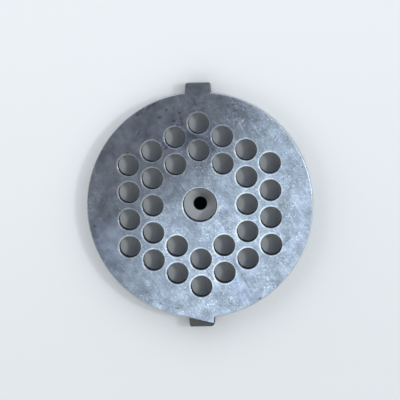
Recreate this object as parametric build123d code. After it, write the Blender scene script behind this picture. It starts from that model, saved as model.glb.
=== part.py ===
"""Grinding plate of a household meat mincer, in millimetres.

One flat steel disc. A plain bore in the middle carries the tip of the feed screw, thirty round
holes between bore and rim let the minced meat out, and two lugs on the rim keep the plate from
turning in the mincer's mouth. Both faces are ground, but one lug dips below the ground face.

The origin is the centre of the bore on the lower face. +Z is the bore's axis, towards the upper
face, and +Y points from the bore to the lug that is ground all over.
"""

import os
from math import ceil, cos, radians, sqrt

from build123d import *

# Disc
PLATE_DIAMETER = 54.0
PLATE_THICKNESS = 5.0
RIM_EDGE_BREAK = 0.25

# Bore for the tip of the feed screw
BORE_DIAMETER = 7.9
BORE_EDGE_BREAK = 0.25

# Meat holes, on a triangular lattice with rows that run from lug to lug
HOLE_DIAMETER = 5.0
HOLE_PITCH = 6.5
HOLE_EDGE_BREAK = 0.15
LAND_AROUND_BORE = 4.0
LAND_INSIDE_RIM = 4.0

# Lugs, a little narrower at the tip than at the rim
LUG_ROOT_WIDTH = 6.2
LUG_TIP_WIDTH = 5.8
LUG_REACH = 2.1
LUG_CORNER_RADIUS = 0.4
LUG_WORN_CORNER_RADIUS = 0.8
LUG_ROOT_RADIUS = 0.3

# Unground flat on the low lug: it starts at the root of the lug's -X side, flush with the ground
# face, and its upper edge runs across to the tip of the +X side. Angles are in degrees.
LOW_FLAT_SKEW = 16.5
LOW_FLAT_SLOPE = 9.0
LOW_FLAT_LEAN = 3.0

rim_radius = PLATE_DIAMETER / 2
hole_radius = HOLE_DIAMETER / 2
bore_radius = BORE_DIAMETER / 2
tip_radius = rim_radius + LUG_REACH
lug_root_y = sqrt(rim_radius**2 - (LUG_ROOT_WIDTH / 2) ** 2)


def lug_plan(worn_corner):
    """Plan of the lug on +Y, from inside the rim to its tip, with rounded outer corners."""
    root_x = LUG_ROOT_WIDTH / 2
    tip_x = LUG_TIP_WIDTH / 2
    inside_y = lug_root_y - LUG_REACH
    plan = make_face(
        Polyline(
            (-root_x, inside_y),
            (-root_x, lug_root_y),
            (-tip_x, tip_radius),
            (tip_x, tip_radius),
            (root_x, lug_root_y),
            (root_x, inside_y),
            close=True,
        )
    )
    left_corner, right_corner = plan.vertices().group_by(Axis.Y)[-1].sort_by(Axis.X)
    plan = fillet(right_corner, LUG_CORNER_RADIUS)
    left_corner = plan.vertices().sort_by_distance(left_corner)[0]
    return fillet(left_corner, LUG_WORN_CORNER_RADIUS if worn_corner else LUG_CORNER_RADIUS)


def plate_plan():
    """Round plan with a lug at each end of the Y axis and small radii at the lugs' roots."""
    straight_lug = lug_plan(worn_corner=False)
    low_lug = Rot(Z=180) * lug_plan(worn_corner=True)
    plan = Circle(rim_radius) + straight_lug + low_lug
    root_corners = [
        corner
        for corner in plan.vertices()
        if abs(corner.X) < LUG_ROOT_WIDTH and abs(abs(corner.Y) - lug_root_y) < LUG_ROOT_RADIUS / 2
    ]
    return fillet(root_corners, LUG_ROOT_RADIUS)


def plate_blank():
    """The plate before its holes: the plan at full thickness, with broken edges all round."""
    blank = extrude(plate_plan(), PLATE_THICKNESS)
    lower_face = blank.faces().sort_by(Axis.Z)[0]
    upper_face = blank.faces().sort_by(Axis.Z)[-1]
    return chamfer(lower_face.edges() + upper_face.edges(), RIM_EDGE_BREAK)


def low_flat_cut():
    """What the unground flat takes off the low lug, outside the rim.

    The flat falls away towards the tip and leans down towards +X. A wall at 45 degrees climbs from
    its inner edge to the ground face, so it widens as the flat sinks.
    """
    reach = 2 * (LUG_ROOT_WIDTH + LUG_REACH)
    section = make_face(Polyline((0, 0), (-reach, 0), (-reach, reach), (reach, reach), close=True))
    block = extrude(Plane.YZ * section, reach, both=True)
    start = Pos(-LUG_ROOT_WIDTH / 2, -lug_root_y, PLATE_THICKNESS)
    placed = start * Rot(Z=-LOW_FLAT_SKEW) * Rot(Y=LOW_FLAT_LEAN) * Rot(X=LOW_FLAT_SLOPE) * block
    inside_rim = Cylinder(rim_radius, 4 * reach)
    return placed - inside_rim


def hole_cutter(radius, edge_break):
    """A drill through the whole thickness that also breaks the edges at both faces."""
    over = radius + edge_break
    half_profile = make_face(
        Polyline(
            (0, -edge_break),
            (over + edge_break, -edge_break),
            (radius, edge_break),
            (radius, PLATE_THICKNESS - edge_break),
            (over + edge_break, PLATE_THICKNESS + edge_break),
            (0, PLATE_THICKNESS + edge_break),
            close=True,
        )
    )
    return revolve(Plane.XZ * half_profile, Axis.Z)


def hole_centres():
    """Lattice points whose hole leaves both lands of plain metal, at the bore and at the rim."""
    nearest = bore_radius + LAND_AROUND_BORE + hole_radius
    farthest = rim_radius - LAND_INSIDE_RIM - hole_radius
    row_spacing = HOLE_PITCH * cos(radians(30))
    steps = range(-ceil(farthest / row_spacing), ceil(farthest / row_spacing) + 1)
    along_row = Vector(0, HOLE_PITCH)
    next_row = Vector(row_spacing, HOLE_PITCH / 2)
    lattice = [along_row * i + next_row * j for i in steps for j in steps]
    return [point for point in lattice if nearest <= point.length <= farthest]


def grinder_plate():
    """The finished plate."""
    plate = plate_blank() - low_flat_cut()
    plate -= hole_cutter(bore_radius, BORE_EDGE_BREAK)
    meat_hole = hole_cutter(hole_radius, HOLE_EDGE_BREAK)
    plate -= [Pos(centre) * meat_hole for centre in hole_centres()]
    return plate


os.makedirs("parts", exist_ok=True)
export_step(grinder_plate(), "parts/grinder_plate.step")
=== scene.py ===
"""Looks of a meat grinder plate: one ground steel disc with a bore, thirty holes and two lugs.

The plate lies flat on a pale floor under soft studio light. Its form is modelled in millimetres, in
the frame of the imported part, and brought to metres once it is finished.
"""

import logging
from dataclasses import dataclass
from enum import Enum
from math import ceil, cos, hypot, pi, radians, sin, sqrt, tan
from typing import Any, Callable, Sequence

import bmesh
import bpy
from bpy.types import Material, Node, NodeSocket, NodeTree, Object
from mathutils import Euler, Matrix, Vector


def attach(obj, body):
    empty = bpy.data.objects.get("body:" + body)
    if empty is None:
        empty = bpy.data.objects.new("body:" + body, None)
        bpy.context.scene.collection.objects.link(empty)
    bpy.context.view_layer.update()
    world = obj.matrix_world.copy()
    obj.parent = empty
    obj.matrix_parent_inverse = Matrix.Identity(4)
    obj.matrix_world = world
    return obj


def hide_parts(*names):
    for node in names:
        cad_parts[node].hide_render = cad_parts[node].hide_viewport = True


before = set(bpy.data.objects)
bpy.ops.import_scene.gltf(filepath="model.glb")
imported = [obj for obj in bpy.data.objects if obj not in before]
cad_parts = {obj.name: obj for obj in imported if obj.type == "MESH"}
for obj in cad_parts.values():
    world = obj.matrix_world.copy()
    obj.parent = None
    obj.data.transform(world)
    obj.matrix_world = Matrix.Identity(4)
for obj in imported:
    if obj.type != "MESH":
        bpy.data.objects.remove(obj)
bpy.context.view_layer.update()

MM = 0.001

TOUCHING = 0.001  # millimetres within which two heights count as one
SNAP = 0.01  # millimetres within which a corner counts as lying at a line
UPRIGHT = 1.0  # least height in millimetres of an edge that counts as upright
SQUARE_ON = 0.9  # least share of a normal along an axis for a face to look that way

log = logging.getLogger("grinder_plate")

Colour = tuple[float, float, float]
Point = tuple[float, float]


def rgba(colour: Colour) -> tuple[float, float, float, float]:
    """Give a linear colour its full alpha."""
    return (*colour, 1.0)


# ---------------------------------------------------------------------------------------------
# Modelling moves
# ---------------------------------------------------------------------------------------------


class Joining(Enum):
    """What a tool solid does to the body it meets."""

    ADD = "UNION"
    CUT = "DIFFERENCE"


class Bench:
    """The modelling moves that all forms of the plate share."""

    @staticmethod
    def clear() -> None:
        """Deselect everything, so that the next move acts on new work alone."""
        bpy.ops.object.select_all(action="DESELECT")

    @staticmethod
    def take(*forms: Object) -> None:
        """Select only the given forms and make the first one active."""
        Bench.clear()
        for form in forms:
            form.select_set(True)
        bpy.context.view_layer.objects.active = forms[0]

    @staticmethod
    def settle(form: Object) -> None:
        """Write the form's place, turn and scale into its mesh."""
        Bench.take(form)
        bpy.ops.object.transform_apply(location=True, rotation=True, scale=True)

    @staticmethod
    def pick(form: Object, kind: str, wanted: Callable[[Any], bool]) -> None:
        """Select only the faces or edges that pass a test, in edit mode.

        Args:
            form: The form that is open in edit mode.
            kind: FACE or EDGE.
            wanted: The test of one face or edge.
        """
        bpy.ops.mesh.select_mode(type=kind)
        bpy.ops.mesh.select_all(action="DESELECT")
        mesh = bmesh.from_edit_mesh(form.data)
        for part in mesh.faces if kind == "FACE" else mesh.edges:
            part.select_set(wanted(part))
        bmesh.update_edit_mesh(form.data)

    @staticmethod
    def lies_at(face: bmesh.types.BMFace, *levels: float) -> bool:
        """Tell whether a face lies flat at one of the given heights."""
        heights = [corner.co.z for corner in face.verts]
        return any(all(abs(height - level) < TOUCHING for height in heights) for level in levels)

    @staticmethod
    def is_upright(edge: bmesh.types.BMEdge) -> bool:
        """Tell whether an edge stands upright."""
        first, second = (end.co.z for end in edge.verts)
        return abs(first - second) > UPRIGHT

    @staticmethod
    def combine(body: Object, tool: Object, joining: Joining) -> None:
        """Add a tool solid to a body or cut it away, and clear the tool from the bench.

        Args:
            body: The solid that is kept.
            tool: The solid that is used up.
            joining: Whether the tool adds or cuts.
        """
        Bench.take(body)
        bpy.ops.object.modifier_add(type="BOOLEAN")
        modifier = body.modifiers[-1]
        modifier.operation = joining.value
        modifier.solver = "EXACT"
        modifier.object = tool
        bpy.ops.object.modifier_apply(modifier=modifier.name)
        bpy.data.objects.remove(tool)
        Bench.put_in_order(body)

    @staticmethod
    def put_in_order(form: Object) -> None:
        """Number the corners and faces of a form by their place.

        Joining and cutting leave them in an order that changes from run to run, and the moves that
        follow depend on that order.

        Args:
            form: The form, in object mode.
        """
        corners = sorted(form.data.vertices, key=lambda corner: tuple(corner.co))
        number = {corner.index: count for count, corner in enumerate(corners)}
        loops = []
        for face in form.data.polygons:
            loop = [number[index] for index in face.vertices]
            first = loop.index(min(loop))
            loops.append(loop[first:] + loop[:first])
        mesh = bmesh.new()
        spots = [mesh.verts.new(corner.co) for corner in corners]
        for loop in sorted(loops):
            mesh.faces.new([spots[index] for index in loop])
        mesh.to_mesh(form.data)
        mesh.free()


# ---------------------------------------------------------------------------------------------
# Forms of the plate, in millimetres
# ---------------------------------------------------------------------------------------------


@dataclass(frozen=True)
class Disc:
    """The round body of the plate.

    Attributes:
        diameter: Outer diameter.
        thickness: Height from the lower face to the upper face.
        facets: Flat strips round the rim. Their joints stay clear of the lugs' root radii.
    """

    diameter: float = 54.0
    thickness: float = 5.0
    facets: int = 300

    @property
    def radius(self) -> float:
        """Outer radius."""
        return self.diameter / 2

    def build(self, overrun: float = 0.0) -> Object:
        """Model the disc with its lower face at height 0.

        Args:
            overrun: How far the disc goes past both faces.

        Returns:
            The disc.
        """
        Bench.clear()
        bpy.ops.mesh.primitive_cylinder_add(
            vertices=self.facets,
            radius=self.radius,
            depth=self.thickness + 2 * overrun,
            location=(0, 0, self.thickness / 2),
        )
        disc = bpy.context.object
        Bench.settle(disc)
        return disc


class LugSide(Enum):
    """Which lug is meant, with its turn about the bore's axis in degrees."""

    STRAIGHT = 0.0
    LOW = 180.0


@dataclass(frozen=True)
class Lug:
    """A lug on the rim, a little narrower at its tip than at the rim.

    Attributes:
        root_width: Width where it leaves the rim.
        tip_width: Width at its tip.
        reach: How far the tip stands out of the rim.
        corner_radius: Radius of its outer corners.
        worn_radius: Radius of the one outer corner of the low lug that is worn.
        root_radius: Radius of the inner corners between lug and rim.
        corner_steps: Flat strips round an outer corner.
        root_steps: Flat strips round an inner corner.
        overlap: How deep the lug goes into the disc before they are joined.
        overrun: How far it goes past both faces before they are cut to height.
    """

    root_width: float = 6.2
    tip_width: float = 5.8
    reach: float = 2.1
    corner_radius: float = 0.4
    worn_radius: float = 0.8
    root_radius: float = 0.3
    corner_steps: int = 7
    root_steps: int = 4
    overlap: float = 3.0
    overrun: float = 2.0

    def root_y(self, disc: Disc) -> float:
        """Distance from the bore's axis to the line where the lug's sides meet the rim."""
        return sqrt(disc.radius**2 - (self.root_width / 2) ** 2)

    def tip_y(self, disc: Disc) -> float:
        """Distance from the bore's axis to the lug's tip."""
        return disc.radius + self.reach

    def root_setback(self, disc: Disc) -> float:
        """How far the root radius starts from the inner corner."""
        side_lean = (self.root_width - self.tip_width) / 2 / (self.tip_y(disc) - self.root_y(disc))
        rim_lean = self.root_width / 2 / disc.radius
        return self.root_radius / tan((pi / 2 + side_lean + rim_lean) / 2)

    def build(self, disc: Disc, side: LugSide) -> Object:
        """Model one lug, ready to be joined to the disc.

        Args:
            disc: The disc that carries the lug.
            side: Which lug is made.

        Returns:
            The lug in its place.
        """
        root_y, tip_y, middle = self.root_y(disc), self.tip_y(disc), disc.thickness / 2
        Bench.clear()
        bpy.ops.mesh.primitive_cube_add(size=1, location=(0, (root_y + tip_y) / 2, middle))
        lug = bpy.context.object
        lug.scale = (self.root_width, tip_y - root_y, disc.thickness + 2 * self.overrun)
        Bench.settle(lug)

        bpy.ops.object.mode_set(mode="EDIT")
        Bench.pick(lug, "FACE", lambda face: face.normal.y > SQUARE_ON)
        narrowing = self.tip_width / self.root_width
        bpy.ops.transform.resize(value=(narrowing, 1, 1), center_override=(0, tip_y, middle))
        Bench.pick(lug, "FACE", lambda face: face.normal.y < -SQUARE_ON)
        bpy.ops.mesh.extrude_region_move(TRANSFORM_OT_translate={"value": (0, -self.overlap, 0)})
        for side_sign in (-1, 1):
            wear_and_highlight = side is LugSide.LOW and side_sign < 0
            radius = self.worn_radius if wear_and_highlight else self.corner_radius
            self._round_corner(lug, side_sign, tip_y, radius)
        bpy.ops.object.mode_set(mode="OBJECT")

        lug.rotation_euler.z = radians(side.value)
        Bench.settle(lug)
        return lug

    def _round_corner(self, lug: Object, side_sign: int, tip_y: float, radius: float) -> None:
        """Round one upright outer corner.

        Args:
            lug: The lug, open in edit mode.
            side_sign: -1 or 1 for the corner towards -X or +X.
            tip_y: Where the lug's tip lies.
            radius: The corner's radius.
        """

        def is_corner(edge: bmesh.types.BMEdge) -> bool:
            """Tell whether an edge is the upright one at the wanted corner."""
            at_tip = all(end.co.y > tip_y - SNAP for end in edge.verts)
            return Bench.is_upright(edge) and at_tip and edge.verts[0].co.x * side_sign > 0

        Bench.pick(lug, "EDGE", is_corner)
        bpy.ops.mesh.bevel(
            offset=radius, offset_type="OFFSET", segments=self.corner_steps, affect="EDGES"
        )


@dataclass(frozen=True)
class LowFlat:
    """The unground flat on the low lug, which dips below the ground face.

    Attributes:
        skew: How far its upper edge is turned from square to the lug, in degrees.
        slope: How steeply it falls towards the tip, in degrees.
        lean: How steeply it falls towards +X, in degrees.
    """

    skew: float = 16.5
    slope: float = 9.0
    lean: float = 3.0

    def cutter(self, disc: Disc, lug: Lug) -> Object:
        """Model what the flat takes off the low lug, outside the rim.

        Args:
            disc: The disc that carries the lug.
            lug: The lug's sizes.

        Returns:
            The cutting form in its place.
        """
        reach = 2 * (lug.root_width + lug.reach)
        Bench.clear()
        bpy.ops.mesh.primitive_cube_add(size=2 * reach, location=(0, 0, reach))
        block = bpy.context.object
        Bench.settle(block)

        bpy.ops.object.mode_set(mode="EDIT")
        bpy.ops.mesh.select_all(action="SELECT")
        bpy.ops.mesh.bisect(plane_co=(0, 0, 0), plane_no=(0, 1, 0))

        def is_far_foot(edge: bmesh.types.BMEdge) -> bool:
            """Tell whether an edge is the block's lowest one on the +Y side."""
            return all(end.co.z < SNAP and end.co.y > reach - SNAP for end in edge.verts)

        Bench.pick(block, "EDGE", is_far_foot)
        bpy.ops.transform.translate(value=(0, 0, reach))
        bpy.ops.object.mode_set(mode="OBJECT")

        block.rotation_euler = (radians(self.slope), radians(self.lean), radians(-self.skew))
        block.location = (-lug.root_width / 2, -lug.root_y(disc), disc.thickness)
        Bench.settle(block)
        Bench.combine(block, disc.build(overrun=2 * reach), Joining.CUT)
        return block


@dataclass(frozen=True)
class RoundHole:
    """A drilled hole with a rounded edge at both faces.

    Attributes:
        diameter: Bore of the hole.
        edge_break: Radius that its edges are rounded to.
        facets: Flat strips round its wall.
    """

    diameter: float
    edge_break: float
    facets: int

    @property
    def radius(self) -> float:
        """Radius of the wall."""
        return self.diameter / 2

    def flare(self) -> list[Point]:
        """Work out how the cutting form opens from the wall to just above a face.

        Returns:
            Radius and height above the face for each ring, from the wall outwards.
        """
        rings = [
            (self.radius + self.edge_break * (1 - cos(turn)), self.edge_break * (sin(turn) - 1))
            for turn in (0.0, pi / 6, pi / 3)
        ]
        last_radius, last_height = rings[-1]
        edge_radius = self.radius + self.edge_break
        rings.append((2 * edge_radius - last_radius, -last_height))
        return rings

    def cutter(self, thickness: float) -> Object:
        """Model the cutting form round the Z axis.

        Args:
            thickness: Thickness of the plate.

        Returns:
            The cutting form, which runs past both faces.
        """
        rings = self.flare()
        Bench.clear()
        bpy.ops.mesh.primitive_cylinder_add(
            vertices=self.facets,
            radius=rings[0][0],
            depth=thickness + 2 * rings[0][1],
            location=(0, 0, thickness / 2),
        )
        form = bpy.context.object
        Bench.settle(form)
        bpy.ops.object.mode_set(mode="EDIT")
        wall_end = rings[0][1]
        for up, level in ((1, thickness + wall_end), (-1, -wall_end)):
            Bench.pick(form, "FACE", lambda face: Bench.lies_at(face, level))
            for (radius, height), (wider, higher) in zip(rings, rings[1:]):
                rise = {"value": (0, 0, up * (higher - height))}
                bpy.ops.mesh.extrude_region_move(TRANSFORM_OT_translate=rise)
                ratio = wider / radius
                bpy.ops.transform.resize(value=(ratio, ratio, 1), center_override=(0, 0, 0))
            clearance = {"value": (0, 0, up * thickness / 4)}
            bpy.ops.mesh.extrude_region_move(TRANSFORM_OT_translate=clearance)
        bpy.ops.object.mode_set(mode="OBJECT")
        return form


@dataclass(frozen=True)
class MeatHoles:
    """The holes that the minced meat leaves through, on a triangular lattice.

    Attributes:
        hole: One of the holes.
        pitch: Distance between neighbours.
        inner_land: Least plain metal between a hole and the bore.
        outer_land: Least plain metal between a hole and the rim.
    """

    hole: RoundHole = RoundHole(diameter=5.0, edge_break=0.15, facets=72)
    pitch: float = 6.5
    inner_land: float = 4.0
    outer_land: float = 4.0

    def reach(self, disc: Disc, bore: RoundHole) -> Point:
        """Return the least and the greatest distance of a hole's centre from the bore's axis."""
        nearest = bore.radius + self.inner_land + self.hole.radius
        return nearest, disc.radius - self.outer_land - self.hole.radius

    def centres(self, disc: Disc, bore: RoundHole) -> list[Point]:
        """Work out where the holes lie.

        Args:
            disc: The disc that they are drilled through.
            bore: The bore in the disc's middle.

        Returns:
            The centre of each hole, in rows that run from lug to lug.
        """
        nearest, farthest = self.reach(disc, bore)
        row_spacing = self.pitch * cos(radians(30))
        steps = range(-ceil(farthest / row_spacing), ceil(farthest / row_spacing) + 1)
        lattice = [(j * row_spacing, (i + j / 2) * self.pitch) for i in steps for j in steps]
        return [point for point in lattice if nearest <= hypot(*point) <= farthest]


class Finish(Enum):
    """The finishes of the plate, by the number of their material slot."""

    GROUND = 0
    ARRIS = 1
    BORED = 2
    TURNED = 3
    RAW = 4
    FORGED = 5


@dataclass(frozen=True)
class GrinderPlate:
    """The whole plate, which is one piece of steel.

    Attributes:
        disc: The round body.
        lug: The lug at each end of the Y axis.
        low_flat: The unground flat on the low lug.
        bore: The bore for the tip of the feed screw.
        holes: The meat holes.
        rim_edge_break: Radius that the edges of the outline are rounded to.
        edge_steps: Flat strips round those edges.
        crease: Least angle between two faces that stays sharp to the eye, in degrees.
    """

    disc: Disc = Disc()
    lug: Lug = Lug()
    low_flat: LowFlat = LowFlat()
    bore: RoundHole = RoundHole(diameter=7.9, edge_break=0.25, facets=96)
    holes: MeatHoles = MeatHoles()
    rim_edge_break: float = 0.25
    edge_steps: int = 3
    crease: float = 40.0

    def build(self) -> Object:
        """Model the plate and bring it to metres.

        Returns:
            The finished mesh, named for the plate, without its materials.
        """
        plate = self._blank()
        Bench.combine(plate, self.low_flat.cutter(self.disc, self.lug), Joining.CUT)
        Bench.combine(plate, self._drills(), Joining.CUT)
        self._clean(plate)
        plate.name = plate.data.name = "ground_plate"
        return plate

    def _blank(self) -> Object:
        """Join disc and lugs, cut them to height, round the lugs' roots and break the edges."""
        blank = self.disc.build(overrun=self.lug.overrun / 2)
        for side in LugSide:
            Bench.combine(blank, self.lug.build(self.disc, side), Joining.ADD)
        root_x, root_y = self.lug.root_width / 2, self.lug.root_y(self.disc)

        def is_root(edge: bmesh.types.BMEdge) -> bool:
            """Tell whether an edge is an upright one between a lug and the rim."""
            x, y, _ = edge.verts[0].co
            return Bench.is_upright(edge) and hypot(abs(x) - root_x, abs(y) - root_y) < 2 * SNAP

        Bench.take(blank)
        bpy.ops.object.mode_set(mode="EDIT")
        levels = (0.0, self.disc.thickness)
        for level, outwards in zip(levels, (-1, 1)):
            bpy.ops.mesh.select_all(action="SELECT")
            bpy.ops.mesh.bisect(
                plane_co=(0, 0, level),
                plane_no=(0, 0, outwards),
                use_fill=True,
                clear_outer=True,
            )
        bpy.ops.mesh.select_all(action="SELECT")
        bpy.ops.mesh.remove_doubles(threshold=SNAP / 2)
        Bench.pick(blank, "EDGE", is_root)
        setback = self.lug.root_setback(self.disc)
        bpy.ops.mesh.bevel(offset=setback, segments=self.lug.root_steps, affect="EDGES")
        Bench.pick(blank, "FACE", lambda face: Bench.lies_at(face, *levels))
        bpy.ops.mesh.region_to_loop()
        bpy.ops.mesh.bevel(offset=self.rim_edge_break, segments=self.edge_steps, affect="EDGES")
        bpy.ops.object.mode_set(mode="OBJECT")
        return blank

    def _drills(self) -> Object:
        """Set the cutting forms of the bore and of all meat holes in one object."""
        drills = [self.bore.cutter(self.disc.thickness)]
        pattern = self.holes.hole.cutter(self.disc.thickness)
        for x, y in self.holes.centres(self.disc, self.bore):
            drill = pattern.copy()
            drill.data = pattern.data.copy()
            bpy.context.collection.objects.link(drill)
            drill.location = (x, y, 0)
            drills.append(drill)
        bpy.data.objects.remove(pattern)
        Bench.take(*drills)
        bpy.ops.object.join()
        return bpy.context.object

    def _clean(self, plate: Object) -> None:
        """Merge doubles, turn the faces outwards, scale to metres and shade the plate."""
        Bench.take(plate)
        bpy.ops.object.mode_set(mode="EDIT")
        bpy.ops.mesh.select_all(action="SELECT")
        bpy.ops.mesh.remove_doubles(threshold=TOUCHING / 2)
        bpy.ops.mesh.dissolve_degenerate(threshold=TOUCHING / 2)
        bpy.ops.mesh.normals_make_consistent(inside=False)
        bpy.ops.transform.resize(value=(MM, MM, MM), center_override=(0, 0, 0))
        bpy.ops.object.mode_set(mode="OBJECT")
        bpy.ops.object.shade_smooth_by_angle(angle=radians(self.crease))
        bpy.ops.object.modifier_add(type="WEIGHTED_NORMAL")
        modifier = plate.modifiers[-1]
        modifier.keep_sharp = True
        modifier.weight = 100  # large faces alone decide the shading at their edges
        bpy.ops.object.modifier_apply(modifier=modifier.name)

    def finish_of(self, centre: Vector, normal: Vector) -> Finish:
        """Tell which finish a spot of the surface has.

        Args:
            centre: The spot, in metres.
            normal: The way the surface faces there.

        Returns:
            The finish.
        """
        x, y, z = centre / MM
        from_axis, rim = hypot(x, y), self.disc.radius
        level, looks_up, margin = 0.99, 0.5, 1.0
        if abs(normal.z) > level and min(z, self.disc.thickness - z) < TOUCHING:
            return Finish.GROUND
        if y < margin - rim and normal.z > looks_up and from_axis > rim:
            on_flat = z < self.disc.thickness - self.rim_edge_break or normal.z > SQUARE_ON
            return Finish.RAW if on_flat else Finish.FORGED
        if from_axis > rim + 3 * SNAP:
            return Finish.FORGED
        if abs(normal.z) > SQUARE_ON:
            return Finish.ARRIS
        among_holes = from_axis < rim - self.holes.outer_land + margin
        return Finish.BORED if among_holes else Finish.TURNED

    def dress(self, plate: Object, finishes: dict[Finish, Material]) -> None:
        """Give each face of the plate its finish.

        Args:
            plate: The finished mesh.
            finishes: The material of each finish.
        """
        for finish in Finish:
            plate.data.materials.append(finishes[finish])
        for face in plate.data.polygons:
            face.material_index = self.finish_of(face.center, face.normal).value


# ---------------------------------------------------------------------------------------------
# Shader sheets and shared effects
# ---------------------------------------------------------------------------------------------


class Sheet:
    """A node tree that is being wired."""

    def __init__(self, tree: NodeTree) -> None:
        """Start on an empty tree.

        Args:
            tree: The tree to wire.
        """
        self.tree = tree
        tree.nodes.clear()

    def add(self, kind: str, inputs: dict[Any, Any] | None = None, **settings: Any) -> Node:
        """Add a node.

        Args:
            kind: The node's type.
            inputs: A value, or a socket to link from, for each named or numbered input.
            **settings: The node's own settings.

        Returns:
            The node.
        """
        node = self.tree.nodes.new(kind)
        for name, value in settings.items():
            setattr(node, name, value)
        self.feed(node, inputs or {})
        return node

    def feed(self, node: Node, inputs: dict[Any, Any]) -> None:
        """Set a node's inputs, or link them where a socket is given."""
        for key, value in inputs.items():
            if isinstance(value, NodeSocket):
                self.tree.links.new(value, node.inputs[key])
            else:
                node.inputs[key].default_value = value

    def math(self, operation: str, *values: Any) -> NodeSocket:
        """Add a Math node and return its result."""
        return self.add("ShaderNodeMath", dict(enumerate(values)), operation=operation).outputs[0]

    def times(self, value: Any, factor: Any) -> NodeSocket:
        """Return the product of two values."""
        return self.math("MULTIPLY", value, factor)

    def vector(self, operation: str, *values: Any, result: str = "Vector") -> NodeSocket:
        """Add a Vector Math node and return its vector, or its value when asked."""
        node = self.add("ShaderNodeVectorMath", dict(enumerate(values)), operation=operation)
        return node.outputs[result]

    def length(self, vector: Any) -> NodeSocket:
        """Return the length of a vector."""
        return self.vector("LENGTH", vector, result="Value")

    def dot(self, vector: Any, way: Any) -> NodeSocket:
        """Return how far a vector goes along a way."""
        return self.vector("DOT_PRODUCT", vector, way, result="Value")

    def flatten(self, vector: Any) -> NodeSocket:
        """Return a vector with its height taken away."""
        return self.vector("MULTIPLY", vector, (1.0, 1.0, 0.0))

    def turn_back(self, vector: Any, turn: Any) -> NodeSocket:
        """Turn a vector about Z, against the given angle."""
        inputs = {"Vector": vector, "Angle": self.times(turn, -1.0)}
        return self.add("ShaderNodeVectorRotate", inputs).outputs[0]

    def along(self, vector: Any, turn: Any, length: Any, width: Any) -> NodeSocket:
        """Turn a vector back and measure it in lengths along and in widths across."""
        turned = self.turn_back(vector, turn)
        size = self.add("ShaderNodeCombineXYZ", {0: length, 1: width, 2: 1.0})
        return self.vector("DIVIDE", turned, size.outputs[0])

    def noise(self, vector: Any, detail: float, scale: float = 1.0) -> Any:
        """Add a Noise Texture node and return its outputs."""
        inputs = {"Vector": vector, "Scale": scale, "Detail": detail}
        return self.add("ShaderNodeTexNoise", inputs).outputs

    def gap(self, value: Any, other: Any) -> NodeSocket:
        """Return how far two values lie apart."""
        return self.math("ABSOLUTE", self.math("SUBTRACT", value, other))

    def ramp(self, value: Any, low: Any, high: Any, start: Any = 0.0, end: Any = 1.0) -> NodeSocket:
        """Bring a value smoothly from one range to another.

        Args:
            value: The value.
            low: Where the change starts.
            high: Where the change ends.
            start: The result at and below low.
            end: The result at and above high.

        Returns:
            The changed value.
        """
        inputs = {"Value": value, "From Min": low, "From Max": high, "To Min": start, "To Max": end}
        node = self.add("ShaderNodeMapRange", inputs, interpolation_type="SMOOTHSTEP")
        return node.outputs["Result"]

    def blend(self, share: Any, first: Any, second: Any, mode: str = "MIX") -> NodeSocket:
        """Blend two colours.

        Args:
            share: How much of the second colour shows.
            first: The colour below.
            second: The colour above.
            mode: The way they are blended.

        Returns:
            The blended colour.
        """
        inputs = {"Factor": share, 6: first, 7: second}
        node = self.add("ShaderNodeMix", inputs, data_type="RGBA", blend_type=mode)
        return node.outputs[2]


class Effect:
    """A shader effect that several finishes share, built once as a node group.

    Attributes:
        name: The group's name.
        inputs: The value that each input has when nothing is set, or None for a vector.
    """

    name: str = ""
    inputs: dict[str, float | None] = {}

    def wire(self, sheet: Sheet, source: Any) -> NodeSocket:
        """Wire the effect.

        Args:
            sheet: The group's sheet.
            source: The outputs of the group's input node.

        Returns:
            The mask that the group puts out.
        """
        raise NotImplementedError

    def group(self) -> NodeTree:
        """Return the effect's node group, made on first use."""
        if self.name in bpy.data.node_groups:
            return bpy.data.node_groups[self.name]
        tree = bpy.data.node_groups.new(self.name, "ShaderNodeTree")
        for name, value in self.inputs.items():
            kind = "NodeSocketVector" if value is None else "NodeSocketFloat"
            socket = tree.interface.new_socket(name, in_out="INPUT", socket_type=kind)
            if value is not None:
                socket.default_value = value
        tree.interface.new_socket("Mask", in_out="OUTPUT", socket_type="NodeSocketFloat")
        sheet = Sheet(tree)
        source, end = sheet.add("NodeGroupInput"), sheet.add("NodeGroupOutput")
        sheet.feed(end, {"Mask": self.wire(sheet, source.outputs)})
        return tree

    def place(self, sheet: Sheet, inputs: dict[str, Any]) -> NodeSocket:
        """Set the effect in a material.

        Args:
            sheet: The material's sheet.
            inputs: Values or sockets for the effect's inputs.

        Returns:
            The effect's mask.
        """
        return sheet.add("ShaderNodeGroup", inputs, node_tree=self.group()).outputs["Mask"]


class Mottle(Effect):
    """Soft uneven blotches."""

    name = "mottle"
    inputs = {"Place": None, "Size": 1.0, "Low": 0.4, "High": 0.6}

    def wire(self, sheet: Sheet, source: Any) -> NodeSocket:
        """Wire noise of the given size, spread over the given range of heights."""
        scaled = sheet.vector("DIVIDE", source["Place"], source["Size"])
        noise = sheet.noise(scaled, detail=3.0)
        return sheet.ramp(noise["Fac"], source["Low"], source["High"])


class Brushing(Effect):
    """Long fine lines that all run one way."""

    name = "brushing"
    inputs = {"Place": None, "Turn": 0.0, "Length": 4.0, "Width": 0.2, "High": 0.7}

    def wire(self, sheet: Sheet, source: Any) -> NodeSocket:
        """Wire noise that is drawn out along the given direction."""
        scaled = sheet.along(source["Place"], source["Turn"], source["Length"], source["Width"])
        return sheet.ramp(sheet.noise(scaled, detail=2.0)["Fac"], 0.5, source["High"])


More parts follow.
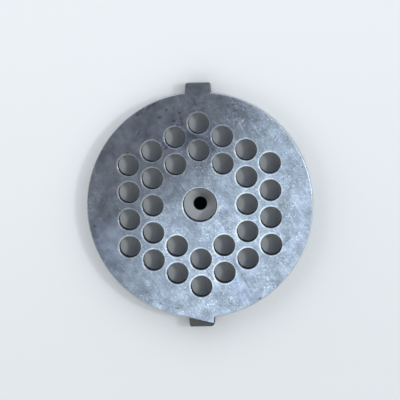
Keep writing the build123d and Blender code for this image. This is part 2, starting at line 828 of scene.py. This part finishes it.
class Scratches(Effect):
    """Single short scratches that lie every way, one to a cell."""

    name = "scratches"
    inputs = {"Place": None, "Spacing": 2.0, "Length": 1.5, "Width": 0.15, "Share": 0.5}

    def wire(self, sheet: Sheet, source: Any) -> NodeSocket:
        """Wire a scatter of cells, each with one line that is turned at random."""
        scaled = sheet.vector("DIVIDE", source["Place"], source["Spacing"])
        inputs = {"Vector": scaled, "Scale": 1.0, "Randomness": 1.0}
        cell = sheet.add("ShaderNodeTexVoronoi", inputs, voronoi_dimensions="2D")
        offset = sheet.vector("SUBTRACT", sheet.flatten(scaled), cell.outputs["Position"])
        chance = sheet.add("ShaderNodeSeparateColor", {0: cell.outputs["Color"]}).outputs
        half_turn = 3.14
        turn = sheet.times(sheet.math("SUBTRACT", chance[0], 0.5), half_turn)
        split = sheet.add("ShaderNodeSeparateXYZ", {0: sheet.turn_back(offset, turn)}).outputs
        along = sheet.times(sheet.math("ABSOLUTE", split[0]), source["Spacing"])
        across = sheet.times(sheet.math("ABSOLUTE", split[1]), source["Spacing"])
        half_length = sheet.times(source["Length"], 0.5)
        half_width = sheet.times(source["Width"], 0.5)
        ends = sheet.ramp(along, sheet.times(half_length, 0.4), half_length, 1.0, 0.0)
        sides = sheet.ramp(across, sheet.times(half_width, 0.3), half_width, 1.0, 0.0)
        present = sheet.math("LESS_THAN", chance[1], source["Share"])
        return sheet.times(sheet.times(ends, sides), present)


class Spot(Effect):
    """One soft oval patch at a given place."""

    name = "spot"
    inputs = {"Place": None, "Middle": None, "Turn": 0.0, "Length": 4.0, "Width": 4.0, "Core": 0.5}

    def wire(self, sheet: Sheet, source: Any) -> NodeSocket:
        """Wire an oval that fades from its core to its edge."""
        offset = sheet.vector("SUBTRACT", sheet.flatten(source["Place"]), source["Middle"])
        scaled = sheet.along(offset, source["Turn"], source["Length"], source["Width"])
        double = sheet.times(sheet.length(scaled), 2.0)
        return sheet.ramp(double, source["Core"], 1.0, 1.0, 0.0)


@dataclass(frozen=True)
class HoleRimHighlight(Effect):
    """Painted highlights: bright rings round the meat holes and the bore, brighter still on their lit
    side.

    Attributes:
        plate: The plate whose holes are ringed.
        stand_off: Distance from a hole's wall to the middle of its ring, in millimetres.
        half_width: Half the ring's width, in millimetres.
        even: How strongly a ring shows all round.
        lit: How much more strongly it shows on its lit side.
        lit_way: The way that the lit side lies.
    """

    plate: "GrinderPlate"
    stand_off: float = 0.31
    half_width: float = 0.24
    even: float = 0.42
    lit: float = 0.90
    lit_way: tuple[float, float, float] = (-0.87, 0.49, 0.0)
    name = "hole_rim_highlight"
    inputs = {"Place": None}

    def wire(self, sheet: Sheet, source: Any) -> NodeSocket:
        """Wire the ring of the bore and those of the holes, which form two shifted grids."""
        holes, bore = self.plate.holes, self.plate.bore
        row, half_pitch = holes.pitch * cos(radians(30)), holes.pitch / 2
        nearest, farthest = holes.reach(self.plate.disc, bore)
        middle, half_range = (nearest + farthest) / 2, (farthest - nearest) / 2 + SNAP
        flat = sheet.flatten(source["Place"])
        rings = self._ring(sheet, flat, bore.radius, 1.0)
        for shift in ((0.0, 0.0, 0.0), (row, half_pitch, 0.0)):
            moved = sheet.vector("SUBTRACT", flat, shift)
            offset = sheet.vector("WRAP", moved, (row, half_pitch, 1.0), (-row, -half_pitch, -1.0))
            reach = sheet.length(sheet.vector("SUBTRACT", flat, offset))
            present = sheet.math("LESS_THAN", sheet.gap(reach, middle), half_range)
            found = self._ring(sheet, offset, holes.hole.radius, present)
            rings = sheet.math("MAXIMUM", rings, found)
        return rings

    def _ring(self, sheet: Sheet, offset: NodeSocket, radius: float, present: Any) -> NodeSocket:
        """Wire the ring round one hole.

        Args:
            sheet: The group's sheet.
            offset: The way from the hole's axis, in millimetres.
            radius: The hole's radius.
            present: Whether there is a hole, as 0 or 1.

        Returns:
            How strongly the ring shows.
        """
        beside = sheet.gap(sheet.length(offset), radius + self.stand_off)
        ring = sheet.ramp(beside, 0.0, self.half_width, 1.0, 0.0)
        way = sheet.vector("NORMALIZE", offset)
        lit = sheet.math("MAXIMUM", sheet.dot(way, self.lit_way), 0.0)
        level = sheet.math("ADD", sheet.times(lit, self.lit), self.even)
        return sheet.times(sheet.times(ring, level), present)


MOTTLE, BRUSHING, SCRATCHES, SPOT = Mottle(), Brushing(), Scratches(), Spot()


@dataclass(frozen=True)
class Patch:
    """One oval patch of a face where a stain, a haze or a group of scratches shows.

    Attributes:
        middle: Its middle, in millimetres.
        length: Its length, in millimetres.
        width: Its width, in millimetres.
        turn: Its turn from +X, in degrees.
        strength: How strongly it shows.
        core: How much of it is even, before it fades.
    """

    middle: Point
    length: float
    width: float
    turn: float = 0.0
    strength: float = 1.0
    core: float = 0.3

    def mask(self, sheet: Sheet, place: NodeSocket) -> NodeSocket:
        """Set the patch in a material.

        Args:
            sheet: The material's sheet.
            place: The place on the face, in millimetres.

        Returns:
            How strongly the patch shows at each place.
        """
        inputs = {
            "Place": place,
            "Middle": (*self.middle, 0.0),
            "Turn": radians(self.turn),
            "Length": self.length,
            "Width": self.width,
            "Core": self.core,
        }
        return sheet.times(SPOT.place(sheet, inputs), self.strength)


def gather(sheet: Sheet, place: NodeSocket, patches: Sequence[Patch]) -> NodeSocket:
    """Bring several patches together in one mask.

    Args:
        sheet: The material's sheet.
        place: The place on the face, in millimetres.
        patches: The patches.

    Returns:
        The strongest patch at each place.
    """
    masks = [patch.mask(sheet, place) for patch in patches]
    strongest = masks[0]
    for mask in masks[1:]:
        strongest = sheet.math("MAXIMUM", strongest, mask)
    return strongest


def start_material(name: str) -> tuple[Material, Sheet, NodeSocket, Node]:
    """Start a material with a plain Principled surface.

    Args:
        name: The material's name.

    Returns:
        The material, its sheet, the place on the object in millimetres and the Principled node.
    """
    material = bpy.data.materials.new(name)
    material.use_nodes = True
    sheet = Sheet(material.node_tree)
    coordinates = sheet.add("ShaderNodeTexCoord")
    inputs = {0: coordinates.outputs["Object"], "Scale": 1 / MM}
    place = sheet.add("ShaderNodeVectorMath", inputs, operation="SCALE").outputs["Vector"]
    surface = sheet.add("ShaderNodeBsdfPrincipled")
    sheet.add("ShaderNodeOutputMaterial", {"Surface": surface.outputs[0]})
    return material, sheet, place, surface


# ---------------------------------------------------------------------------------------------
# Finishes
# ---------------------------------------------------------------------------------------------


@dataclass(frozen=True)
class GroundSteel:
    """Both faces: surface-ground steel with stains, haze and the marks of use, with painted highlights
    round the holes and painted reflection and shade over wide patches.

    Attributes:
        plate: The plate that is finished.
        steel: Colour of the clean steel.
        stain: Colour of the dark stains.
        haze: Colour of the dull greenish patches.
        smear: Colour of the smooth pale smear.
        roughness: How dull the steel is.
        stains: Where the dark stains lie.
        hazes: Where the dull patches lie.
        smears: Where the pale smear lies.
        rubs: Where the short parallel scratches lie.
        specks: Where the dark specks lie.
        strokes: Where single bright scratches and chips lie.
        painted_reflections: Where the steel's colour is raised over a wide patch, as painted
            reflection of brighter light.
        painted_shades: Where its colour is lowered over a wide patch, as painted shade.
        calms: Where its fine marks are fainter.
        raggedness: How far the edges of the patches are pushed about, in millimetres.
        layer_shift: How far each layer of marks is moved from the one before, in millimetres.
        broad_layers: How many of the first layers are too broad to be calmed.
    """

    plate: GrinderPlate
    steel: Colour = (0.49, 0.61, 0.775)
    stain: Colour = (0.22, 0.24, 0.40)
    haze: Colour = (0.43, 0.53, 0.58)
    smear: Colour = (0.50, 0.63, 0.86)
    roughness: float = 0.095
    stains: tuple[Patch, ...] = (
        Patch((-0.2, 23.1), 8.0, 4.0, 20.0, 0.6),
        Patch((-4.8, 20.3), 6.0, 4.0, -30.0, 0.7),
        Patch((-8.0, 14.4), 5.0, 4.0, 60.0, 0.7),
        Patch((-13.0, 16.5), 5.0, 3.0, 30.0, 0.5),
        Patch((3.0, 17.0), 7.0, 5.0, 0.0, 0.5),
        Patch((-2.0, 17.0), 22.0, 14.0, -10.0, 0.6, 0.0),
        Patch((3.5, 11.0), 8.0, 8.0, 0.0, 0.5, 0.0),
        Patch((0.5, 7.0), 5.0, 3.0, -50.0, 0.5, 0.0),
    )
    hazes: tuple[Patch, ...] = (
        Patch((19.9, 0.0), 5.0, 4.0, 0.0, 0.8),
        Patch((18.9, -13.6), 7.0, 4.0, -50.0, 0.7),
        Patch((16.4, -17.9), 6.0, 4.0, 30.0, 0.7),
        Patch((13.0, 14.0), 8.0, 5.0, -40.0, 0.4),
        Patch((-2.0, -23.0), 8.0, 4.0, 0.0, 0.5),
        Patch((0.0, -21.0), 16.0, 8.0, 0.0, 0.4, 0.0),
    )
    smears: tuple[Patch, ...] = (
        Patch((8.6, -18.4), 10.5, 3.0, -68.0, 0.9),
        Patch((10.4, -21.8), 5.5, 4.2, -60.0, 0.8),
        Patch((-22.0, -8.5), 16.0, 16.0, 0.0, 1.0, 0.0),
        Patch((-4.0, 15.0), 30.0, 14.0, -10.0, 0.6, 0.0),
    )
    rubs: tuple[Patch, ...] = (
        Patch((9.8, 19.8), 4.6, 3.4, 0.0, 1.0),
        Patch((18.3, 15.8), 6.0, 3.0, -40.0, 0.8),
    )
    specks: tuple[Patch, ...] = (
        Patch((-25.3, -4.6), 1.0, 0.6, 0.0, 1.0),
        Patch((-23.5, -12.3), 0.9, 0.5, -50.0, 0.8),
        Patch((7.4, -25.9), 0.8, 0.5, 0.0, 1.0),
        Patch((24.6, 8.7), 0.8, 0.5, 60.0, 1.0),
        Patch((20.0, 17.4), 0.8, 0.5, 0.0, 0.8),
        Patch((-12.2, 23.4), 9.5, 1.5, 33.0, 0.5, 0.6),
        Patch((-9.2, 21.0), 1.3, 1.1, 20.0, 0.7),
        Patch((-5.8, 20.2), 1.1, 0.9, -30.0, 1.0),
        Patch((-4.9, 19.4), 1.8, 0.8, 60.0, 0.8),
        Patch((-4.4, 22.0), 1.2, 1.5, 0.0, 0.7),
        Patch((-7.6, 22.8), 1.4, 0.9, 30.0, 0.6),
        Patch((-14.3, 17.4), 2.0, 1.1, 50.0, 0.6),
        Patch((-17.1, 12.6), 0.9, 0.8, 0.0, 0.9),
        Patch((-20.5, 12.6), 1.1, 0.8, 90.0, 0.5),
        Patch((-7.8, 13.6), 1.8, 0.9, 10.0, 0.8),
        Patch((10.8, -18.8), 8.5, 0.6, -62.0, 0.5, 0.5),
        Patch((18.5, -19.5), 1.4, 0.8, 45.0, 0.6),
        Patch((14.0, -22.6), 1.6, 0.7, 30.0, 0.7),
        Patch((-6.0, -24.6), 3.5, 0.7, -14.0, 0.6),
        Patch((-9.5, -23.6), 2.2, 0.6, -24.0, 0.7),
    )
    strokes: tuple[Patch, ...] = (
        Patch((4.9, -0.6), 2.6, 0.3, 40.0, 0.8),
        Patch((4.7, -0.7), 2.2, 0.3, -50.0, 0.7),
        Patch((21.2, -2.8), 2.0, 0.32, 60.0, 0.8),
        Patch((21.8, -3.4), 1.6, 0.32, -50.0, 0.8),
        Patch((22.6, -3.0), 1.8, 0.32, 65.0, 0.7),
        Patch((-16.9, -16.5), 5.0, 0.26, -77.0, 0.6),
        Patch((8.7, -18.0), 7.0, 1.0, -68.0, 0.35),
        Patch((16.0, -20.0), 0.8, 0.7, 0.0, 1.0),
        Patch((13.4, -14.2), 0.7, 0.7, 0.0, 1.0),
        Patch((10.0, -12.3), 0.6, 0.6, 0.0, 0.9),
        Patch((6.9, -22.6), 0.8, 0.6, 0.0, 0.9),
        Patch((1.5, -24.0), 1.0, 0.7, 20.0, 0.9),
    )
    # painted reflection: wide patches where the colour is raised to show brighter mirrored light
    painted_reflections: tuple[Patch, ...] = (
        Patch((-26.0, 2.0), 10.0, 34.0, 0.0, 0.5, 0.0),
        Patch((-21.0, -8.0), 10.0, 16.0, 15.0, 0.6, 0.0),
        Patch((14.0, 14.0), 7.0, 6.0, 0.0, 0.6, 0.0),
        Patch((24.0, -4.0), 6.0, 8.0, 0.0, 0.5, 0.0),
    )
    # painted shade: wide patches where the colour is lowered to show darker mirrored light
    painted_shades: tuple[Patch, ...] = (
        Patch((21.0, 11.0), 18.0, 26.0, -30.0, 0.5, 0.0),
        Patch((14.0, 17.0), 24.0, 18.0, -40.0, 0.8, 0.0),
        Patch((-18.5, -20.0), 32.0, 38.0, -30.0, 1.0, 0.0),
        Patch((20.0, -6.0), 16.0, 26.0, -10.0, 0.35, 0.0),
        Patch((1.0, 14.5), 18.0, 9.0, -10.0, 0.8, 0.0),
        Patch((-4.5, 10.0), 12.0, 6.0, 20.0, 0.6, 0.0),
        Patch((20.0, 16.0), 9.0, 7.0, -45.0, 0.6, 0.0),
        Patch((14.5, 7.0), 6.0, 6.0, 0.0, 0.6, 0.0),
        Patch((20.5, 0.5), 7.0, 8.0, 0.0, 0.5, 0.0),
        Patch((-3.0, -5.0), 9.0, 14.0, 0.0, 0.4, 0.0),
        Patch((17.5, -17.5), 9.0, 8.0, 40.0, 0.6, 0.0),
        Patch((-2.0, -22.0), 12.0, 9.0, 0.0, 0.5, 0.0),
    )
    calms: tuple[Patch, ...] = (
        Patch((-14.0, 15.0), 52.0, 34.0, 42.0, 0.8, 0.2),
        Patch((-21.0, -7.0), 14.0, 18.0, 0.0, 0.7, 0.2),
    )
    raggedness: float = 3.0
    layer_shift: Point = (31.0, 17.0)
    broad_layers: int = 2

    def build(self) -> Material:
        """Make the material."""
        material, sheet, place, surface = start_material("ground_steel_face")
        drift = sheet.noise(place, detail=2.0, scale=0.8)
        push = sheet.vector("SUBTRACT", drift["Color"], (0.5, 0.5, 0.5))
        ragged = sheet.vector("MULTIPLY_ADD", push, (self.raggedness, self.raggedness, 0.0), place)
        colour = self._tint(sheet, place, ragged)
        shade = self._shade(sheet, place, ragged)
        colour = sheet.blend(1.0, colour, shade, "MULTIPLY")
        sheet.feed(surface, {"Base Color": colour, "Metallic": 1.0, "Roughness": self.roughness})
        return material

    def _tint(self, sheet: Sheet, place: NodeSocket, ragged: NodeSocket) -> NodeSocket:
        """Colour the steel with its stains, hazes and smear.

        Args:
            sheet: The material's sheet.
            place: The place on the face, in millimetres.
            ragged: The same place, pushed about to make edges uneven.

        Returns:
            The colour of the steel.
        """
        cloud = MOTTLE.place(sheet, {"Place": place, "Size": 4.5, "Low": 0.4, "High": 0.7})
        film = MOTTLE.place(sheet, {"Place": ragged, "Size": 1.8, "Low": 0.4, "High": 0.62})
        veil = sheet.times(cloud, 0.22)
        colour = sheet.blend(veil, rgba(self.steel), rgba(self.haze))
        haze = sheet.times(gather(sheet, ragged, self.hazes), film)
        colour = sheet.blend(haze, colour, rgba(self.haze))
        colour = sheet.blend(gather(sheet, ragged, self.smears), colour, rgba(self.smear))
        stain = sheet.times(gather(sheet, ragged, self.stains), film)
        return sheet.blend(stain, colour, rgba(self.stain))

    def _shade(self, sheet: Sheet, place: NodeSocket, ragged: NodeSocket) -> NodeSocket:
        """Work out how bright the steel is for its fine marks, its painted highlights round the holes
        and its painted reflection and shade.

        Args:
            sheet: The material's sheet.
            place: The place on the face, in millimetres.
            ragged: The same place, pushed about to make edges uneven.

        Returns:
            A factor for the steel's colour.
        """
        layers = (
            (MOTTLE, {"Size": 5.0, "Low": 0.3, "High": 0.7}, 0.86, 1.11),
            (MOTTLE, {"Size": 2.2, "Low": 0.3, "High": 0.7}, 0.87, 1.12),
            (MOTTLE, {"Size": 1.0, "Low": 0.3, "High": 0.7}, 0.94, 1.06),
            (MOTTLE, {"Size": 0.45, "Low": 0.3, "High": 0.72}, 0.92, 1.10),
            (BRUSHING, {"Turn": radians(-58), "Length": 6.0, "Width": 1.0, "High": 0.75}, 0.95, 1.13),
            (BRUSHING, {"Turn": radians(-54), "Length": 4.5, "Width": 0.26, "High": 0.75}, 0.94, 1.20),
            (SCRATCHES, {"Spacing": 2.2, "Length": 2.8, "Width": 0.24, "Share": 0.35}, 1.0, 1.25),
            (SCRATCHES, {"Spacing": 1.5, "Length": 1.7, "Width": 0.26, "Share": 0.4}, 1.0, 0.76),
        )
        calm = gather(sheet, place, self.calms)
        lively = sheet.math("SUBTRACT", 1.0, calm)
        shade = None
        for number, (effect, inputs, least, most) in enumerate(layers):
            shift = [number * step for step in self.layer_shift]
            moved = sheet.vector("ADD", place, (*shift, 0.0))
            mask = effect.place(sheet, {"Place": moved, **inputs})
            factor = sheet.ramp(mask, 0.0, 1.0, least, most)
            if number >= self.broad_layers:
                offset = sheet.math("SUBTRACT", factor, 1.0)
                factor = sheet.math("MULTIPLY_ADD", offset, lively, 1.0)
            shade = factor if shade is None else sheet.times(shade, factor)
        busy = MOTTLE.place(sheet, {"Place": ragged, "Size": 6.5, "Low": 0.38, "High": 0.62})
        busy = sheet.times(busy, lively)
        glint = {"Place": place, "Spacing": 0.8, "Length": 0.42, "Width": 0.42, "Share": 0.4}
        pit = {"Place": ragged, "Spacing": 1.1, "Length": 0.9, "Width": 0.4, "Share": 0.5}
        glints = sheet.times(SCRATCHES.place(sheet, glint), busy)
        pits = sheet.times(SCRATCHES.place(sheet, pit), busy)
        lines = {"Place": place, "Turn": radians(58), "Length": 3.0, "Width": 0.26, "High": 0.6}
        rubbed = sheet.times(BRUSHING.place(sheet, lines), gather(sheet, ragged, self.rubs))
        # painted highlight: bright rings round the hole edges, stronger on their lit side
        wear_and_highlight = HoleRimHighlight(self.plate).place(sheet, {"Place": place})
        crumbs = MOTTLE.place(sheet, {"Place": place, "Size": 0.6, "Low": 0.38, "High": 0.54})
        specks = sheet.times(gather(sheet, place, self.specks), crumbs)
        masks = (
            (glints, 1.6),
            (pits, 0.70),
            (rubbed, 1.8),
            (wear_and_highlight, 1.85),
            (specks, 0.25),
            (gather(sheet, place, self.strokes), 1.7),
            # painted reflection and painted shade over wide patches
            (gather(sheet, place, self.painted_reflections), 1.3),
            (gather(sheet, place, self.painted_shades), 0.66),
        )
        for mask, factor in masks:
            shade = sheet.times(shade, sheet.ramp(mask, 0.0, 1.0, 1.0, factor))
        return shade


@dataclass(frozen=True)
class PlainSteel:
    """Cut steel of one tone, for edges and walls.

    Attributes:
        name: The material's name.
        steel: Its colour.
        roughness: How dull it is.
        metallic: How much of it is bare metal.
        gloss: How strongly a dirty surface shines.
        darker_patches: Where it is darker.
        grain: How many blotches lie in a millimetre along X, Y and Z.
        shades: How dark and how bright the blotches make it.
        patch_darkness: How dark it is in those patches.
    """

    name: str
    steel: Colour
    roughness: float
    metallic: float = 1.0
    gloss: float = 0.5
    darker_patches: tuple[Patch, ...] = ()
    grain: tuple[float, float, float] = (1.4, 1.4, 1.4)
    shades: Point = (0.85, 1.1)
    patch_darkness: float = 0.3

    def build(self) -> Material:
        """Make the material."""
        material, sheet, place, surface = start_material(self.name)
        spread = sheet.vector("MULTIPLY", place, self.grain)
        blotch = MOTTLE.place(sheet, {"Place": spread, "Low": 0.3, "High": 0.7})
        shade = sheet.ramp(blotch, 0.0, 1.0, *self.shades)
        if self.darker_patches:
            darkening = sheet.ramp(gather(sheet, place, self.darker_patches), 0.0, 1.0, 1.0, self.patch_darkness)
            shade = sheet.times(shade, darkening)
        colour = sheet.blend(1.0, rgba(self.steel), shade, "MULTIPLY")
        rough = sheet.ramp(blotch, 0.0, 1.0, self.roughness * 0.85, self.roughness * 1.15)
        metal = {"Metallic": self.metallic, "Specular IOR Level": self.gloss}
        sheet.feed(surface, {"Base Color": colour, "Roughness": rough, **metal})
        return material


# ---------------------------------------------------------------------------------------------
# Stage, light and camera
# ---------------------------------------------------------------------------------------------


@dataclass(frozen=True)
class PaleFloor:
    """The floor under the plate, with a dark spot under the bore, painted shade round the spot and
    painted light that grows towards +Y.

    Attributes:
        colour: The floor's colour.
        drift: How much paler it gets towards +Y, as a share either way; this is painted light that
            grows slowly across the floor.
        drift_reach: How far from the bore's axis that change goes on, in millimetres.
        spot_colour: Colour of the dark spot and of the painted shade round it.
        width: Its width, in metres.
        drop: How far it lies below the plate's lower face, in metres.
        spot: The dark spot.
        spot_shade: Painted shade round it, deepening towards the spot.
    """

    colour: Colour = (0.80, 0.83, 0.845)
    drift: float = 0.05
    drift_reach: float = 60.0
    spot_colour: Colour = (0.002, 0.0025, 0.004)
    width: float = 3.0
    drop: float = 0.00002
    spot: Patch = Patch((-0.05, 0.10), 3.6, 3.6, core=0.85)
    spot_shade: Patch = Patch((0.5, 1.3), 7.6, 5.6, strength=0.62, core=0.1)

    def build(self) -> None:
        """Lay the floor and give it its material."""
        Bench.clear()
        bpy.ops.mesh.primitive_plane_add(size=self.width, location=(0, 0, -self.drop))
        floor = bpy.context.object
        Bench.settle(floor)
        floor.name = "floor"
        material, sheet, place, surface = start_material("pale_floor")
        # painted light: the floor's colour grows paler towards +Y, as a slow fall-off of the light
        y = sheet.add("ShaderNodeSeparateXYZ", {0: place}).outputs[1]
        reach = self.drift_reach
        shade = sheet.ramp(y, -reach, reach, 1 - self.drift, 1 + self.drift)
        colour = sheet.blend(1.0, rgba(self.colour), shade, "MULTIPLY")
        # the first patch paints soft shade that deepens towards the dark spot
        for patch in (self.spot_shade, self.spot):
            colour = sheet.blend(patch.mask(sheet, place), colour, rgba(self.spot_colour))
        sheet.feed(surface, {"Base Color": colour, "Roughness": 0.9, "Specular IOR Level": 0.0})
        floor.data.materials.append(material)


@dataclass(frozen=True)
class Flag:
    """A dark card above the set, which the camera sees only as a reflection in the steel.

    Attributes:
        name: The card's name.
        middle: Where its middle lies, in millimetres.
        size: Its length and width, in millimetres.
        turn: Its turn about the upright, in degrees.
        height: Its height above the floor, in metres.
        colour: Its colour.
    """

    name: str
    middle: Point
    size: Point
    turn: float
    height: float = 0.55
    colour: Colour = (0.225, 0.205, 0.20)

    def build(self) -> None:
        """Hang the card, hide it from camera rays and shadows, and give it its glow."""
        Bench.clear()
        bpy.ops.mesh.primitive_plane_add(size=1)
        card = bpy.context.object
        card.name = self.name
        card.scale = (self.size[0] * MM, self.size[1] * MM, 1)
        card.rotation_euler.z = radians(self.turn)
        card.location = (self.middle[0] * MM, self.middle[1] * MM, self.height)
        Bench.settle(card)
        card.visible_camera = False
        card.visible_shadow = False
        card.visible_transmission = False
        material = bpy.data.materials.new(self.name)
        material.use_nodes = True
        sheet = Sheet(material.node_tree)
        glow = sheet.add("ShaderNodeEmission", {"Color": rgba(self.colour)})
        sheet.add("ShaderNodeOutputMaterial", {"Surface": glow.outputs[0]})
        card.data.materials.append(material)


@dataclass(frozen=True)
class Lamp:
    """A far lamp.

    Attributes:
        name: The lamp's name.
        strength: Its strength.
        elevation: Its height over the horizon, in degrees.
        azimuth: Where it stands, in degrees from +X towards +Y.
        breadth: How broad it looks, in degrees.
        location: Where it hangs, in metres. Its light comes evenly from afar all the same.
    """

    name: str
    strength: float
    elevation: float
    azimuth: float
    breadth: float
    location: tuple[float, float, float] = (0.3, 0.0, 0.5)

    def build(self) -> None:
        """Set up the lamp."""
        Bench.clear()
        bpy.ops.object.light_add(type="SUN", location=self.location)
        lamp = bpy.context.object
        lamp.name = self.name
        lamp.data.energy = self.strength
        lamp.data.angle = radians(self.breadth)
        lamp.rotation_euler = (radians(90 - self.elevation), 0, radians(90 + self.azimuth))


@dataclass(frozen=True)
class Surround:
    """Light from all round, whose level changes slowly from one side to the other.

    Attributes:
        colour: Its colour.
        horizon: Its level at the horizon.
        slant: How much brighter it is towards +X, +Y and straight above.
        least: Its least level.
    """

    colour: Colour
    horizon: float
    slant: tuple[float, float, float]
    least: float = 0.2

    def level(self, sheet: Sheet, way: NodeSocket) -> NodeSocket:
        """Wire its level for a way in the world."""
        level = sheet.math("ADD", sheet.dot(way, self.slant), self.horizon)
        return sheet.math("MAXIMUM", level, self.least)


@dataclass(frozen=True)
class StudioLight:
    """Soft light from all round, with lamps from the right.

    Attributes:
        fill: The light that falls on things.
        overhead: Strength and colour of that light in the dim part above the plate.
        overhead_way: The way that the dim part's middle lies.
        overhead_fade: Cosines from that way between which the dim part begins.
        backdrop: What shows beyond the floor, and what bright metal mirrors.
        lamps: The lamps.
    """

    fill: Surround = Surround((1.42, 1.42, 1.42), 0.45, (-0.12, 0.36, 0.52))
    overhead: Colour = (0.33, 0.43, 0.56)
    overhead_way: tuple[float, float, float] = (0.0, 0.20, 0.98)
    overhead_fade: Point = (0.78, 0.92)
    backdrop: Surround = Surround((0.98, 0.99, 1.0), 0.50, (0.20, -0.05, 0.47))
    lamps: tuple[Lamp, ...] = (
        Lamp("side_lamp", strength=0.50, elevation=56.0, azimuth=6.0, breadth=8.0),
        Lamp("soft_lamp", strength=0.16, elevation=66.0, azimuth=20.0, breadth=24.0),
    )

    def build(self) -> None:
        """Light the set."""
        world = bpy.data.worlds.new("studio")
        world.use_nodes = True
        bpy.context.scene.world = world
        sheet = Sheet(world.node_tree)
        way = sheet.add("ShaderNodeTexCoord").outputs["Generated"]
        above = sheet.ramp(sheet.dot(way, self.overhead_way), *self.overhead_fade)
        colour = sheet.blend(above, rgba(self.fill.colour), rgba(self.overhead))
        inputs = {"Color": colour, "Strength": self.fill.level(sheet, way)}
        fill = sheet.add("ShaderNodeBackground", inputs)
        inputs = {"Color": rgba(self.backdrop.colour), "Strength": self.backdrop.level(sheet, way)}
        backdrop = sheet.add("ShaderNodeBackground", inputs)
        rays = sheet.add("ShaderNodeLightPath").outputs
        seen = sheet.math("MAXIMUM", rays["Is Camera Ray"], rays["Is Transmission Ray"])
        seen = sheet.math("MAXIMUM", seen, rays["Is Glossy Ray"])
        inputs = {0: seen, 1: fill.outputs[0], 2: backdrop.outputs[0]}
        mixed = sheet.add("ShaderNodeMixShader", inputs)
        sheet.add("ShaderNodeOutputWorld", {"Surface": mixed.outputs[0]})
        for lamp in self.lamps:
            lamp.build()


@dataclass(frozen=True)
class OverheadCamera:
    """A long lens almost straight above the plate.

    Attributes:
        distance: From the lens to the upper face, in metres.
        frame_width: Width that fills the frame at the upper face, in metres.
        aim: Where it looks, in millimetres.
        lean: How far it stands off the upright towards +Y, in degrees.
        side_lean: How far it stands off the upright towards +X, in degrees.
        roll: How far it is turned clockwise, in degrees.
    """

    distance: float = 0.90
    frame_width: float = 0.0954
    aim: tuple[float, float, float] = (0.05, 1.21, 5.0)
    lean: float = 3.8
    side_lean: float = 1.8
    roll: float = 1.1

    def build(self) -> None:
        """Set up the camera and make it the scene's own."""
        Bench.clear()
        bpy.ops.object.camera_add()
        camera = bpy.context.object
        camera.name = "overhead_camera"
        camera.rotation_euler = (radians(-self.lean), radians(self.side_lean), radians(-self.roll))
        backwards = Euler(camera.rotation_euler).to_matrix() @ Vector((0, 0, 1))
        camera.location = Vector(self.aim) * MM + backwards * self.distance
        camera.data.lens = camera.data.sensor_width * self.distance / self.frame_width
        camera.data.clip_start = 0.01
        bpy.context.scene.camera = camera


@dataclass(frozen=True)
class Studio:
    """Everything round the plate.

    Attributes:
        floor: What it lies on.
        light: What lights it.
        camera: What looks at it.
        flags: The dark cards that its faces mirror.
    """

    floor: PaleFloor = PaleFloor()
    light: StudioLight = StudioLight()
    camera: OverheadCamera = OverheadCamera()
    flags: tuple[Flag, ...] = (
        Flag("steep_flag", middle=(-102.8, 113.3), size=(140.2, 300.0), turn=60.1),
        Flag("long_flag", middle=(-182.8, 58.0), size=(201.9, 330.0), turn=34.3),
        Flag("side_flag", middle=(-217.2, -37.2), size=(185.3, 300.0), turn=55.7),
    )

    def build(self) -> None:
        """Set up floor, light, flags and camera."""
        bpy.context.scene.view_settings.view_transform = "Standard"
        self.floor.build()
        self.light.build()
        for flag in self.flags:
            flag.build()
        self.camera.build()


def make_finishes(plate: GrinderPlate) -> dict[Finish, Material]:
    """Make the material of each finish of the plate.

    Args:
        plate: The plate that is finished.

    Returns:
        The materials by finish.
    """
    steels = {
        Finish.GROUND: GroundSteel(plate),
        Finish.ARRIS: PlainSteel("broken_edge", (0.44, 0.51, 0.60), roughness=0.25),
        # painted shade: the walls of the holes and the bore are dark drilled steel made near-black and
        # barely metallic, which paints the deep shade inside them
        Finish.BORED: PlainSteel(
            "bored_wall", (0.024, 0.028, 0.036), roughness=0.5, metallic=0.0, gloss=0.1
        ),
        Finish.TURNED: PlainSteel(
            "turned_rim", (0.52, 0.55, 0.58), roughness=0.33, grain=(0.12, 0.12, 5.0)
        ),
        Finish.RAW: PlainSteel(
            "raw_flat",
            (0.075, 0.08, 0.08),
            roughness=0.55,
            metallic=0.4,
            # painted shade: the first patch paints the shade along the step where the flat dips below
            # the ground face; the second darkens the flat towards its tip
            darker_patches=(
                Patch((1.3, -27.9), 5.0, 0.6, -11.0, 0.9, 0.5),
                Patch((2.9, -28.5), 2.4, 1.6, 0.0, 0.6),
            ),
        ),
        Finish.FORGED: PlainSteel("lug_side", (0.14, 0.155, 0.17), roughness=0.5),
    }
    return {finish: steel.build() for finish, steel in steels.items()}


def main() -> None:
    """Build the plate and its studio."""
    logging.basicConfig(level=logging.INFO, format="%(name)s: %(message)s")
    shape = GrinderPlate()
    plate = shape.build()
    shape.dress(plate, make_finishes(shape))
    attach(plate, "root")
    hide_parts("grinder_plate")
    log.info("%s: %d faces", plate.name, len(plate.data.polygons))
    Studio().build()
    log.info("studio: floor, light, flags and camera are set")


if __name__ == "__main__":
    main()
